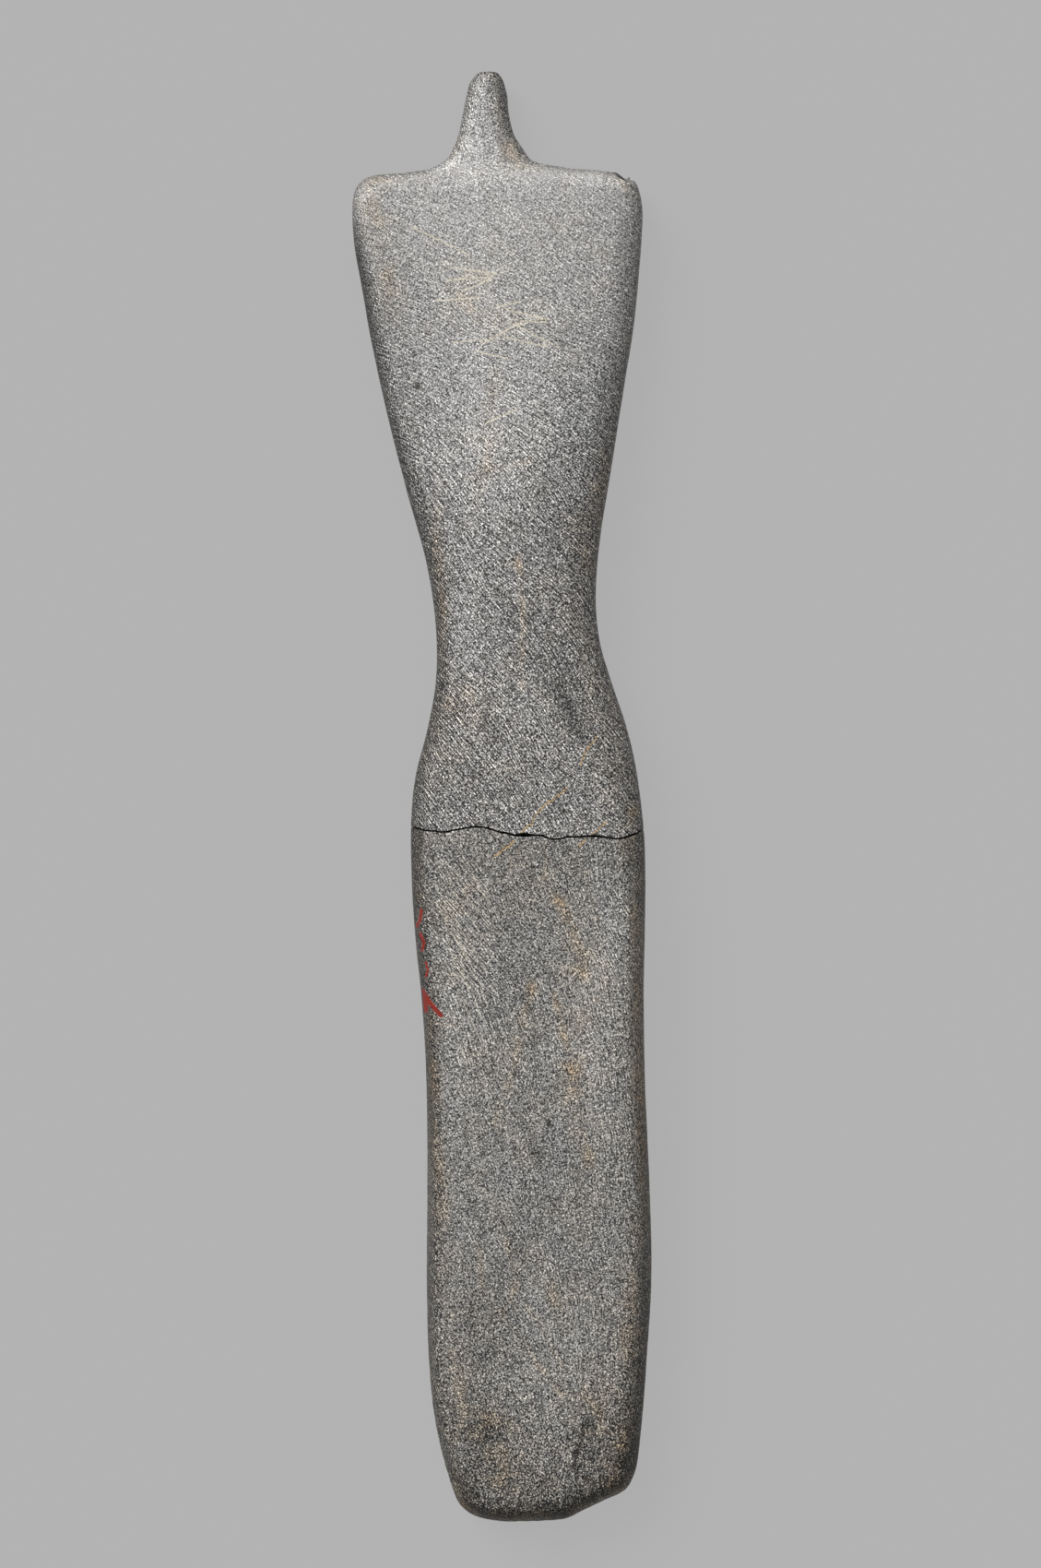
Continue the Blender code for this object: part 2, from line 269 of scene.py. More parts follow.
def front_height(level):
    """Height of the front above the ground."""
    return by_level(
        level,
        [
            (0.00, FOOT_THICKNESS),
            (0.05, FOOT_THICKNESS * 1.06),
            (0.15, (FOOT_THICKNESS + HIP_THICKNESS) / 2),
            (0.40, HIP_THICKNESS),
            (0.52, HIP_THICKNESS * 0.98),
            (0.62, WAIST_THICKNESS),
            (0.78, (WAIST_THICKNESS + CHEST_THICKNESS) / 2),
            (0.88, CHEST_THICKNESS),
            (0.915, CHEST_THICKNESS * 0.96),
            (0.937, HEAD_LIFT + HEAD_THICKNESS * 1.06),
            (0.96, HEAD_LIFT + HEAD_THICKNESS),
            (1.00, HEAD_LIFT + HEAD_THICKNESS * 0.92),
        ],
    )


def back_height(level):
    """Height of the back above the ground: the head is lifted, the rest lies flat."""
    return HEAD_LIFT * soft_step(LIFT_START, LIFT_END, level / LENGTH)


def front_edge(level, side):
    """Width of the sloping edge of the front, where side runs from 0 at the left to 1 at the right."""
    torso = [(0.50, 0.95), (0.62, 1.0), (0.90, 1.0)]
    left = [(share, factor * TORSO_LEFT_EDGE) for share, factor in torso]
    right = [(share, factor * TORSO_RIGHT_EDGE) for share, factor in torso]
    head = [(0.945, HEAD_EDGE), (1.0, HEAD_EDGE)]
    foot = [(0.0, FOOT_EDGE), (0.02, FOOT_EDGE)]
    left += head + foot + [(0.08, SHAFT_LEFT_EDGE), (0.40, SHAFT_LEFT_EDGE)]
    right += head + foot + [(0.08, SHAFT_RIGHT_EDGE), (0.40, SHAFT_RIGHT_EDGE)]
    return by_level(level, left) * (1 - side) + by_level(level, right) * side


def roundness(level):
    """2 is a round edge, as on the head and torso, and nearer 1 is a straight bevel, as on the shaft."""
    return by_level(level, [(0.0, 1.6), (0.40, 1.7), (0.55, 2.0), (1.0, 2.0)])


def rise(inward, width, power):
    """Share of the full height at a distance in from the outline: 0 on it, and 1 from the edge's width on."""
    share = np.clip(inward / width, 0.0, 1.0)
    return (1 - (1 - share) ** power) ** (1 / power)


def distance_to(line, points, closed=False):
    """Distance in the plan from each point to the nearest stretch of the line, worked through in slices."""
    flat = points.reshape(-1, 2)
    starts = line if closed else line[:-1]
    runs = np.roll(line, -1, axis=0) - line if closed else np.diff(line, axis=0)
    found = np.empty(len(flat))
    for chosen in np.array_split(np.arange(len(flat)), 1 + len(flat) * len(starts) // 4_000_000):
        offsets = flat[chosen, None, :] - starts
        along = (offsets * runs).sum(2) / np.maximum((runs**2).sum(1), 1e-12)
        nearest = offsets - np.clip(along, 0.0, 1.0)[:, :, None] * runs
        found[chosen] = np.sqrt((nearest**2).sum(2).min(1))
    return found.reshape(points.shape[:-1])


def break_level(across, height):
    """Level of the broken surface: the wavy line on the front with finer teeth, leaning towards the back."""
    line = np.array(BREAK_LINE) * LENGTH / 1000
    flat = steady(line[:, 0], line[:, 1], np.ravel(across)).reshape(np.shape(across))
    place = np.stack([across, 0 * across, height], axis=-1)
    teeth = 0.10 * waves(place, 2.3, 5) + 0.07 * waves(place, 0.9, 6) + 0.04 * waves(place, 0.5, 7)
    below_rim = np.maximum(1 - height / (RIM_SHARE * HIP_THICKNESS), 0.0)
    return flat + teeth - BREAK_LEAN * below_rim


def carved_side(rows, outline, columns, gap, lip, front):
    """Points of the front or the back, rows by columns by 3. The height climbs from the rim to the full
    height with the distance in from the outline, and the sections bend to meet the break. Points crowd
    towards both edges: the share s across becomes a blend of s and (1 - cos(pi s)) / 2."""
    even = np.linspace(0.0, 1.0, columns)
    side = CROWDING * (1 - np.cos(np.pi * even)) / 2 + (1 - CROWDING) * even
    plan = rows[:, None, 0:2] + (rows[:, None, 2:4] - rows[:, None, 0:2]) * side[None, :, None]
    across = plan[:, :, 0]
    level = plan[:, :, 1] - rows[:, 4:5] * 4 * side * (1 - side)
    inward = distance_to(outline, np.stack([across, level], axis=2), closed=True)
    inward[:, [0, -1]] = 0.0
    low, high = back_height(level), front_height(level)
    rim = low + RIM_SHARE * (high - low)
    if front:
        climb = rise(inward, front_edge(level, side), roundness(level))
        height = rim + (high - rim) * climb + FRONT_CROWN * 4 * side * (1 - side) * climb
    else:
        height = rim + (low - rim) * rise(inward, BACK_EDGE, 2.0)
    ends = np.array(BREAK_ROW) * LENGTH / 1000
    row_level = ends[1] + (ends[3] - ends[1]) * side
    pull = soft_step(0.0, 1.0, 1 - np.abs(level - row_level) / BREAK_REACH)
    edge = gap + lip(across) * soft_step(LIP_REACH, 0.0, np.abs(level - row_level)) * front
    level = level + pull * (break_level(across, height) - row_level) + edge * np.minimum(pull * 4, 1)
    return np.stack([across, level, height], axis=2), inward


def outward(loops):
    """Unit normals of rows of closed loops: across the run round each loop and the run from row to row."""
    round_loop = np.roll(loops, -1, axis=1) - np.roll(loops, 1, axis=1)
    row_to_row = np.gradient(loops, axis=0)
    normals = np.cross(round_loop, row_to_row)
    normals /= np.maximum(np.linalg.norm(normals, axis=2, keepdims=True), 1e-9)
    return normals * np.sign(normals[:, loops.shape[1] // 4, 2].sum())


def fragment_faces(row_count, loop_size, ring_count):
    """Faces of one fragment: a fan at the tip, bands between the loops, then rings that close the broken
    end on one point. Points are numbered tip, loops, rings, end."""
    band = np.arange(loop_size)
    following = (band + 1) % loop_size
    starts = 1 + loop_size * np.arange(row_count + ring_count - 1)[:, None]
    bands = [starts + band, starts + loop_size + band, starts + loop_size + following, starts + following]
    quads = np.stack(bands, axis=2).reshape(-1, 4)
    last = 1 + loop_size * (row_count + ring_count - 1)
    tip_fan = np.stack([0 * band, 1 + band, 1 + following], axis=1)
    end_fan = np.stack([last + band, 0 * band + last + loop_size, last + following], axis=1)
    return quads, np.concatenate([tip_fan, end_fan])


def fragment_object(name, tip, loops, gap, traits):
    """The closed mesh of one fragment, in metres about the middle of the figure, faces outwards, with one
    number a point for each trait. The broken end is the last loop drawn in ring by ring to one point."""
    last = loops[-1]
    centre = np.array([(last[0, 0] + last[FRONT_COLUMNS - 1, 0]) / 2, 0.0, last[:, 2].mean()])
    shares = (np.arange(1, 19) / 19.0) ** 1.6
    rings = last[None] + (centre - last)[None] * shares[:, None, None]
    level_off = last[:, 1] - break_level(last[:, 0], last[:, 2]) - gap
    fade = (1 - shares[:, None]) ** 2
    rings[:, :, 1] = break_level(rings[:, :, 0], rings[:, :, 2]) + gap + level_off * fade
    end = np.array([centre[0], break_level(centre[:1], centre[2:])[0] + gap, centre[2]])
    points = np.concatenate([tip[None], loops.reshape(-1, 3), rings.reshape(-1, 3), end[None]])
    points = (points - [*middle, 0.0]) / 1000
    quads, fans = fragment_faces(len(loops), loops.shape[1], len(shares))
    first, second, third = points[fans[: loops.shape[1]]].swapaxes(0, 1)
    facing = (first - points.mean(0)) * np.cross(second - first, third - first)
    if facing.sum() < 0:
        quads, fans = quads[:, ::-1], fans[:, ::-1]
    mesh = bpy.data.meshes.new(name)
    mesh.from_pydata(points.tolist(), [], quads.tolist() + fans.tolist())
    for trait, values in traits.items():
        inside = np.full(rings.shape[0] * rings.shape[1] + 1, BROKEN_TRAITS.get(trait, 0.0))
        everything = np.concatenate([values[:1, 0], values.ravel(), inside])
        attribute = mesh.attributes.new(trait, "FLOAT", "POINT")
        attribute.data.foreach_set("value", everything.astype(np.float32))
    mesh.shade_smooth()
    mesh.set_sharp_from_angle(angle=np.radians(50.0))
    fragment = bpy.data.objects.new(name, mesh)
    bpy.context.scene.collection.objects.link(fragment)
    return fragment


def spots(place, marks):
    """Sum of soft oval marks: each is (across, along, half width, half length, turn in degrees, amount),
    and its amount falls off with the square of the distance as a bell curve does."""
    total = np.zeros(place.shape[:-1])
    for across, along, wide, long, turn, amount in marks:
        offset = place - (across, along)
        cosine, sine = np.cos(np.radians(turn)), np.sin(np.radians(turn))
        u = (offset[..., 0] * cosine + offset[..., 1] * sine) / wide
        v = (offset[..., 1] * cosine - offset[..., 0] * sine) / long
        total += amount * np.exp(-(u**2 + v**2))
    return total


def trails(place, lines):
    """Sum of soft lines: each is (its points, half width, amount), and falls off sideways as a bell curve."""
    total = np.zeros(place.shape[:-1])
    for points, wide, amount in lines:
        total += amount * np.exp(-((distance_to(np.array(points), place) / wide) ** 2))
    return total


def line_offsets(place, lines, reach):
    """Signed distance to the nearest of several lines, and how strongly it counts: 1 close by, 0 from the
    reach on and past the line's ends."""
    nearest = np.full(place.shape[:-1], 9.0)
    signed = np.full(place.shape[:-1], 9.0)
    strength = np.zeros(place.shape[:-1])
    for line in lines:
        line = np.array(line)
        for start, end in zip(line, line[1:]):
            run = end - start
            long = np.hypot(*run)
            offset = place - start
            along = (offset @ run) / long
            sideways = (offset[..., 0] * run[1] - offset[..., 1] * run[0]) / long
            beyond = np.maximum(np.maximum(-along, along - long), 0.0)
            far = np.hypot(sideways, beyond)
            closer = far < nearest
            nearest = np.where(closer, far, nearest)
            signed = np.where(closer, sideways, signed)
            count = soft_step(0.5, 0.1, beyond) * soft_step(reach, reach * 0.5, far)
            strength = np.where(closer, count, strength)
    return np.clip(signed, -2.0, 2.0), strength


FRONT_COLUMNS = 136
BACK_COLUMNS = 52
UPPER_ROWS = 472
LOWER_ROWS = 472
above_break = HEAD_AND_SHOULDERS + TORSO
all_rows = above_break + [BREAK_ROW] + SHAFT_AND_FOOT
upper_rows = section_rows(all_rows, len(above_break), UPPER_ROWS, True)
lower_rows = section_rows(all_rows, len(above_break), LOWER_ROWS, False)
edge_rows = np.concatenate([upper_rows, lower_rows[-2::-1]])
outline = np.concatenate([edge_rows[:, 0:2], edge_rows[-2:0:-1, 2:4]])[::3]

# The middle of the figure in the plan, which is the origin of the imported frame
middle = np.array([0.0539, 109.9925])

# What the surface inside the break carries: its tone and stain, and no line near it
BROKEN_TRAITS = {
    "tone": 0.42,
    "warm": 0.2,
    "coarse": 0.2,
    "vein_side": 2.0,
    "scratch_side": 2.0,
    "red": 2.0,
}


def stone_loops(rows, gap, lip):
    """Tip point, loops of the front then the back, and how far in from the outline each point lies."""
    front, front_in = carved_side(rows, outline, FRONT_COLUMNS, gap, lip, True)
    back, back_in = carved_side(rows, outline, BACK_COLUMNS, gap, lip, False)
    loops = np.concatenate([front[1:], back[1:, -2:0:-1]], axis=1)
    return front[0, 0], loops, np.concatenate([front_in[1:], back_in[1:, -2:0:-1]], axis=1)


def weathered(loops, rough):
    """The loops moved along their normals by slow swells, by finer unevenness, and by a pecked roughness
    where the stone was left rough. It fades out at the break, so that the fragments still meet."""
    uneven = 0.060 * waves(loops, 9.0, 11) + 0.022 * waves(loops, 3.7, 12) + 0.005 * waves(loops, 1.5, 13)
    pecked = 0.035 * waves(loops, 0.8, 14) + 0.045 * waves(loops, 1.5, 15)
    fade = soft_step(0.0, 4.0, np.arange(len(loops))) * soft_step(0.0, 6.0, np.arange(len(loops))[::-1])
    return loops + outward(loops) * ((uneven + pecked * rough) * fade[:, None])[:, :, None]


# How strongly each layer moves the tone, and the colours that go over it, as the picture shows them
GRAIN_SWING = 1.36
STREAK_SWING = 0.62
CROSSING_SWING = 0.20
LUMP_SWING = 1.6
STAIN_TINT = (1.13, 1.0, 0.84, 1.0)
SCRATCH_COLOUR = (0.80, 0.765, 0.69, 1.0)
VEIN_COLOUR = (0.66, 0.56, 0.42, 1.0)
# The colour of the painted shade in pits and on the face of the shoulder's flake scar
PIT_SHADE_COLOUR = (0.17, 0.16, 0.14, 1.0)


def stone_material(name, streak_length, contrast, hair_tone, mottling, dark_tint, light_tint, paint=None):
    """Ground schist. Short streaks, short crossing scratches and long hairs lie over a fine
    salt-and-pepper grain. Each scratch layer is noise drawn out along a direction that changes from patch
    to patch about the main one. All of it moves the tone about the painted one, then the tone gets its
    tint. Lines and paint go over it, and a power of 2.2 makes the colour linear."""
    material = bpy.data.materials.new(name)
    material.use_nodes = True
    tree = material.node_tree
    shader = tree.nodes["Principled BSDF"]

    def put(kind, inputs=(), output=0, **settings):
        made = tree.nodes.new(kind)
        for setting, value in settings.items():
            setattr(made, setting, value)
        for socket, value in inputs.items() if isinstance(inputs, dict) else enumerate(inputs):
            if isinstance(value, bpy.types.NodeSocket):
                tree.links.new(value, made.inputs[socket])
            elif value is not None:
                made.inputs[socket].default_value = value
        return made.outputs[output]

    def sum_of(operation, *inputs, clamp=False):
        return put("ShaderNodeMath", inputs, operation=operation, use_clamp=clamp)

    def trait(attribute):
        return put("ShaderNodeAttribute", output=2, attribute_name=attribute, attribute_type="GEOMETRY")

    def ramp(value, low, high, floor=0.0, ceiling=1.0):
        return put("ShaderNodeMapRange", (value, low, high, floor, ceiling), interpolation_type="SMOOTHSTEP")

    place = put("ShaderNodeTexCoord", output=3)
    place = put("ShaderNodeVectorMath", {0: place, 3: 1000.0}, operation="SCALE")

    def along_marks(size, long, wide, spread):
        """The place turned and drawn out along the marks, anew in each patch of the given size."""
        patches = put("ShaderNodeTexVoronoi", {0: place, 2: 1.0 / size}).node
        colour, centre = patches.outputs[1], patches.outputs[2]
        channels = put("ShaderNodeSeparateColor", (colour,)).node.outputs
        local = put("ShaderNodeVectorMath", (place, centre), operation="SUBTRACT")
        wander = sum_of("MULTIPLY_ADD", channels[0], 2 * spread, -spread)
        turn = sum_of("ADD", trait("grain_turn"), wander)
        turned = put(
            "ShaderNodeVectorRotate",
            {0: local, 2: (0.0, 0.0, 1.0), 3: sum_of("MULTIPLY", turn, -1.0)},
            rotation_type="AXIS_ANGLE",
        )
        drawn = put("ShaderNodeVectorMath", (turned, (1 / long, 1 / wide, 1 / long)), operation="MULTIPLY")
        apart = put("ShaderNodeVectorMath", {0: colour, 3: 60.0}, operation="SCALE")
        return put("ShaderNodeVectorMath", (drawn, apart), operation="ADD")

    def even_noise(where, scale, shift):
        """Noise less part of its own copy a little to the side, which keeps it from clumping."""
        aside = put("ShaderNodeVectorMath", (where, shift), operation="ADD")
        first = put("ShaderNodeTexNoise", {0: where, 2: scale, 3: 0.0})
        beside = put("ShaderNodeTexNoise", {0: aside, 2: scale, 3: 0.0})
        return sum_of("MULTIPLY_ADD", beside, -0.6, sum_of("ADD", first, 0.3))

    streaks = even_noise(along_marks(3.0, streak_length, 0.11, 0.35), 1.0, (0.0, 0.6, 0.0))
    crossing = put("ShaderNodeTexNoise", {0: along_marks(2.0, 0.30, 0.12, 1.2), 2: 1.0, 3: 0.0})
    askew = put("ShaderNodeMapping", {0: place, 2: (0.5, 0.4, 0.6)})
    grain = even_noise(askew, 4.8, (0.13, 0.02, 0.13))
    hairs = even_noise(along_marks(9.0, 2.8, 0.20, 0.22), 1.0, (0.0, 0.6, 0.0))
    lumps = put("ShaderNodeTexNoise", {0: place, 2: 1.5, 3: 2.0, 4: 0.6})
    mottle = put("ShaderNodeTexNoise", {0: place, 2: 0.4, 3: 2.0, 4: 0.5})

    marks = sum_of("MULTIPLY_ADD", streaks, STREAK_SWING, -STREAK_SWING / 2)
    marks = sum_of("MULTIPLY_ADD", crossing, CROSSING_SWING, sum_of("ADD", marks, -CROSSING_SWING / 2))
    swing = sum_of("MULTIPLY_ADD", grain, GRAIN_SWING, sum_of("ADD", marks, -GRAIN_SWING / 2))
    swing = sum_of("MULTIPLY", swing, sum_of("MULTIPLY", trait("contrast"), contrast))
    combed = sum_of("MULTIPLY", trait("combed"), hair_tone)
    swing = sum_of("MULTIPLY_ADD", sum_of("SUBTRACT", hairs, 0.5), combed, swing)
    lumpy = sum_of("MULTIPLY_ADD", lumps, LUMP_SWING, -LUMP_SWING / 2)
    swing = sum_of("MULTIPLY_ADD", lumpy, trait("coarse"), swing)
    slow = sum_of("MULTIPLY_ADD", mottle, mottling, -0.5 * mottling)
    tone = sum_of("ADD", trait("tone"), sum_of("ADD", swing, slow))
    tone = sum_of("MAXIMUM", tone, 0.05)

    def over(colour, share, paint):
        return put("ShaderNodeMix", {0: share, 6: colour, 7: paint}, 2, data_type="RGBA")

    tint = over(dark_tint, ramp(swing, -0.18, 0.22), light_tint)
    uneven = sum_of("MULTIPLY_ADD", mottle, 3.0, -0.5)
    brown = sum_of("MULTIPLY", trait("warm"), sum_of("MAXIMUM", uneven, 0.3), clamp=True)
    tint = over(tint, brown, STAIN_TINT)
    colour = put("ShaderNodeVectorMath", {0: tint, 3: tone}, operation="SCALE")

    # Thin pale scratches, then rusty veins, along lines that the surface carries
    ragged = sum_of("MULTIPLY_ADD", grain, 0.30, -0.15)
    side = sum_of("ABSOLUTE", sum_of("ADD", trait("scratch_side"), ragged))
    scratch = sum_of("MULTIPLY", ramp(side, 0.17, 0.07), trait("scratch"))
    scratch = sum_of("MULTIPLY", scratch, sum_of("MULTIPLY_ADD", grain, 1.6, 0.05, clamp=True))
    colour = over(colour, scratch, SCRATCH_COLOUR)
    bend = put("ShaderNodeTexNoise", {0: place, 2: 0.9, 3: 2.0})
    side = sum_of("ABSOLUTE", sum_of("ADD", trait("vein_side"), sum_of("MULTIPLY_ADD", bend, 0.9, -0.45)))
    vein = sum_of("MULTIPLY", ramp(side, 0.27, 0.09), trait("vein"))
    vein = sum_of("MULTIPLY", vein, sum_of("MULTIPLY_ADD", grain, 2.4, -0.45, clamp=True))
    colour = over(colour, vein, VEIN_COLOUR)
    # Painted shade in the pits and on the face of the shoulder's flake scar
    colour = over(colour, trait("pit_and_scar_shade"), PIT_SHADE_COLOUR)
    if paint:
        colour = paint(colour, put, sum_of, trait, ramp, over, grain)
    colour = put("ShaderNodeGamma", (colour, 2.2))
    tree.links.new(colour, shader.inputs["Base Color"])

    shader.inputs["Specular IOR Level"].default_value = 0.32
    rough = sum_of("MULTIPLY_ADD", swing, 0.35, 0.68, clamp=True)
    tree.links.new(rough, shader.inputs["Roughness"])
    relief = sum_of("MULTIPLY_ADD", grain, 0.5, sum_of("MULTIPLY", marks, 0.6))
    bump = put("ShaderNodeBump", {"Strength": 0.45, "Distance": 0.00006, "Height": relief})
    tree.links.new(bump, shader.inputs["Normal"])
    return material


# The head's ridge is level between these two places across, and a facet slopes off on either side of it
HEAD_RIDGE = (-1.8, 0.6)
FACET_SLOPES = (0.14, 0.42)
HEAD_START = 202.0
HEAD_FULL = 209.0
PIT_DEPTH = 0.35

# The flake from the right shoulder left a hollow shaped like part of an egg, and a bite in the outline
CHIP_CENTRE = np.array([0.0932 * LENGTH, 0.9288 * LENGTH, RIM_SHARE * CHEST_THICKNESS + 2.6])
CHIP_RADII = (2.6, 2.6, 3.9)
BITE_START = (18.2, 94.15)
BITE_END = (19.75, 92.85)
BITE_HEIGHT = 3.2
BITE_SLOPE = 9.0

# How the stone changes up the figure, as (share of the length, value). The turn is in degrees
UPPER_TURN = [(0.46, -54.0), (0.66, -52.0), (0.80, -34.0), (0.86, -30.0), (0.90, -36.0), (1.0, -15.0)]
UPPER_CONTRAST = [(0.46, 1.30), (0.70, 1.28), (0.82, 1.0), (0.92, 0.82), (0.96, 1.0), (1.0, 1.15)]
UPPER_COMBED = [(0.46, 1.0), (0.70, 1.0), (0.80, 0.7), (0.90, 0.4), (1.0, 0.2)]
UPPER_TONE = [
    (0.46, 0.405),
    (0.60, 0.415),
    (0.67, 0.435),
    (0.74, 0.500),
    (0.80, 0.520),
    (0.90, 0.562),
    (0.94, 0.570),
    (1.00, 0.500),
]

# Marks on the upper fragment, in millimetres from the middle of the figure: lines as their points, spots
# as spots() takes them, and soft lines as trails() takes them
SCRATCHES = [
    [(-6.7, 79.6), (-0.5, 78.5)],
    [(-7.9, 77.8), (-1.2, 78.1)],
    [(-9.7, 74.8), (-3.4, 75.0)],
    [(-6.3, 75.7), (-4.0, 76.7), (-1.3, 77.6)],
    [(-2.9, 68.0), (0.9, 70.0), (3.3, 71.3), (6.5, 71.0)],
    [(-0.7, 73.4), (2.9, 74.2)],
    [(1.0, 73.0), (7.0, 71.4)],
    [(-7.1, 68.4), (-3.3, 68.7)],
    [(0.5, 68.9), (6.4, 67.3)],
    [(1.9, 70.9), (8.2, 67.2)],
    [(-3.8, 66.9), (1.0, 65.6)],
    [(-2.8, 56.1), (1.9, 58.0)],
    [(-12.5, 85.8), (-4.7, 81.6)],
]
UPPER_VEINS = [
    [(12.0, 8.3), (10.6, 6.3), (9.5, 4.5)],
    [(7.2, 0.8), (5.4, -0.7), (3.7, -1.9), (2.6, -3.2), (1.8, -4.3), (0.5, -5.4)],
    [(13.0, -4.6), (12.0, -5.4), (10.8, -6.3)],
]
UPPER_PITS = [
    (-12.9, 61.9, 0.42, 0.48, 20, 1.0),
    (6.9, -2.7, 0.30, 0.30, 0, 0.9),
]
UPPER_SHADES = [
    (-2.0, 74.0, 9.0, 26.0, 0, 0.03),
    (-2.5, 52.0, 4.0, 12.0, 0, 0.05),
    # Darker patches down the right of the chest and belly: painted shade where the front curves away from the
    # lamp
    (19.0, 80.0, 7.0, 22.0, -8, -0.035),
    (14.5, 52.0, 6.5, 16.0, -14, -0.10),
    (9.0, 36.0, 5.0, 13.0, 0, -0.05),
    (1.0, 26.0, 5.0, 12.0, 0, -0.018),
    (13.0, 9.0, 3.0, 8.0, 15, -0.045),
    (-14.5, 50.0, 3.5, 20.0, 12, -0.04),
    (-15.0, 74.0, 4.5, 14.0, 8, -0.045),
    # A painted highlight on the top of the chest left of the neck, where it slopes up to the lamp, then
    # painted shade in two short creases of the hollow round the neck, which the surface doesn't carve
    (-8.0, 95.9, 2.2, 0.9, 8, 0.07),
    (-4.8, 97.0, 0.4, 1.0, -20, -0.09),
    (1.4, 97.0, 0.4, 1.1, 32, -0.09),
    (18.9, 92.5, 0.8, 0.3, -30, 0.08),
    (19.4, 91.2, 0.6, 0.6, 0, 0.04),
    # Painted highlight on the top of the chest beside the neck
    (-4.3, 94.8, 1.6, 1.2, 0, 0.05),
    (-2.0, 104.0, 3.0, 9.0, 0, -0.01),
    (8.9, 10.8, 0.9, 3.6, 25, -0.12),
    (7.2, 15.2, 0.9, 2.4, 20, -0.05),
    (8.5, 18.0, 4.0, 8.0, 0, -0.05),
    (-10.0, 8.0, 4.5, 10.0, 0, -0.03),
    (-6.5, 30.0, 3.0, 12.0, 0, 0.025),
    (1.4, 34.3, 0.5, 1.6, 0, 0.09),
    (7.0, 15.5, 2.2, 6.0, 20, -0.055),
    (-6.5, 22.0, 2.6, 7.0, 0, 0.03),
    (-8.0, 10.0, 2.6, 6.0, 0, 0.025),
    (2.4, 13.0, 2.4, 4.0, 0, 0.025),
    (16.0, 0.0, 3.0, 6.0, 0, -0.03),
]
UPPER_WARMTH = [
    (-18.7, 88.5, 1.8, 3.4, 0, 0.34),
    (-16.2, 86.5, 2.2, 2.5, 0, 0.14),
    (-17.0, 78.0, 1.8, 5.5, 12, 0.24),
    (-17.5, 93.6, 4.0, 1.0, 0, 0.16),
    (2.8, 97.0, 1.3, 2.2, 25, 0.38),
    (0.8, 104.0, 0.8, 6.0, 3, 0.15),
    (-5.5, 76.0, 3.0, 4.5, 0, 0.14),
    (1.0, 72.0, 6.0, 2.5, 0, 0.11),
    (1.4, 34.3, 0.7, 1.7, 0, 0.30),
    (-1.5, 60.5, 1.2, 4.5, -5, 0.22),
    (-3.4, 49.0, 1.3, 5.5, -14, 0.19),
    (-10.6, 32.0, 1.1, 12.0, 0, 0.30),
    (-10.3, 29.0, 0.8, 3.0, 0, 0.16),
    (-8.0, 13.5, 5.0, 3.5, 0, 0.14),
    (-11.0, 7.0, 3.0, 5.0, 10, 0.12),
    (14.4, 46.0, 1.8, 10.0, -14, 0.26),
    (11.0, 38.0, 2.5, 7.0, 0, 0.13),
    (11.6, 17.0, 1.8, 9.0, 12, 0.16),
    (14.5, 2.0, 3.5, 5.0, 0, 0.10),
    (5.3, 23.8, 0.6, 0.6, 0, 0.45),
    (17.0, -3.5, 1.0, 1.6, -20, 0.60),
    (18.9, 92.4, 1.0, 0.4, -30, 0.2),
    (19.4, 91.2, 0.6, 0.6, 0, 0.2),
]
UPPER_COMBING = [
    (-9.0, 8.0, 6.0, 14.0, 0, 0.4),
    (8.8, 11.0, 1.6, 5.0, 25, -0.9),
]
UPPER_LINES = [
    ([(-1.6, 65.8), (-1.9, 58.5)], 0.3, -0.07),
    ([(1.0, 35.5), (1.7, 29.0), (1.3, 16.0)], 0.5, 0.05),
]
UPPER_TRAILS = [
    ([(1.0, 35.5), (1.6, 31.0), (1.8, 27.0), (1.3, 16.0)], 0.6, 0.30),
    ([(-9.8, 13.4), (-6.4, 12.6)], 0.4, 0.14),
    ([(-6.5, 48.0), (-2.0, 49.0), (3.8, 50.3)], 0.5, 0.14),
    ([(-4.5, 33.8), (0.5, 35.0)], 0.5, 0.14),
]


def stripe(distance, middle_of_it, half_width):
    """A soft stripe: the bell curve of how far the distance is from the stripe's middle."""
    return np.exp(-(((distance - middle_of_it) / half_width) ** 2))


def upper_lip(across):
    """How far the upper fragment's front edge has crumbled back from the break."""
    place = np.stack([across, 0 * across, 0 * across], axis=-1)
    return 0.07 * soft_step(0.2, 0.8, waves(place, 1.9, 21)) + 0.35 * stripe(across, 0.9, 0.9)


tip, loops, inward = stone_loops(upper_rows, 0.95 * BREAK_GAP / 2, upper_lip)
level = loops[..., 1]
height = loops[..., 2]
place = loops[..., :2] - middle
is_front = np.arange(loops.shape[1]) < FRONT_COLUMNS
front_only = np.where(is_front, 1.0, 0.0)
across, along = place[..., 0], place[..., 1]

# The head is ground to two facets that meet in its ridge, and both fade out down the neck
head = soft_step(HEAD_START, HEAD_FULL, level)
left_facet = FACET_SLOPES[0] * np.maximum(HEAD_RIDGE[0] - across, 0.0)
right_facet = FACET_SLOPES[1] * np.maximum(across - HEAD_RIDGE[1], 0.0)
loops[..., 2] -= head * (left_facet + right_facet) * front_only
loops[..., 2] = np.maximum(loops[..., 2], back_height(level) + 0.3 * is_front)
loops[..., 2] -= PIT_DEPTH * spots(place, UPPER_PITS) * soft_step(0.3, 1.5, inward) * front_only

# What lies inside the egg at the right shoulder's corner is pushed out onto it
from_chip = loops - CHIP_CENTRE
chip_depth = np.linalg.norm(from_chip / CHIP_RADII, axis=2)[..., None]
loops = np.where(chip_depth < 1.0, CHIP_CENTRE + from_chip / chip_depth, loops)

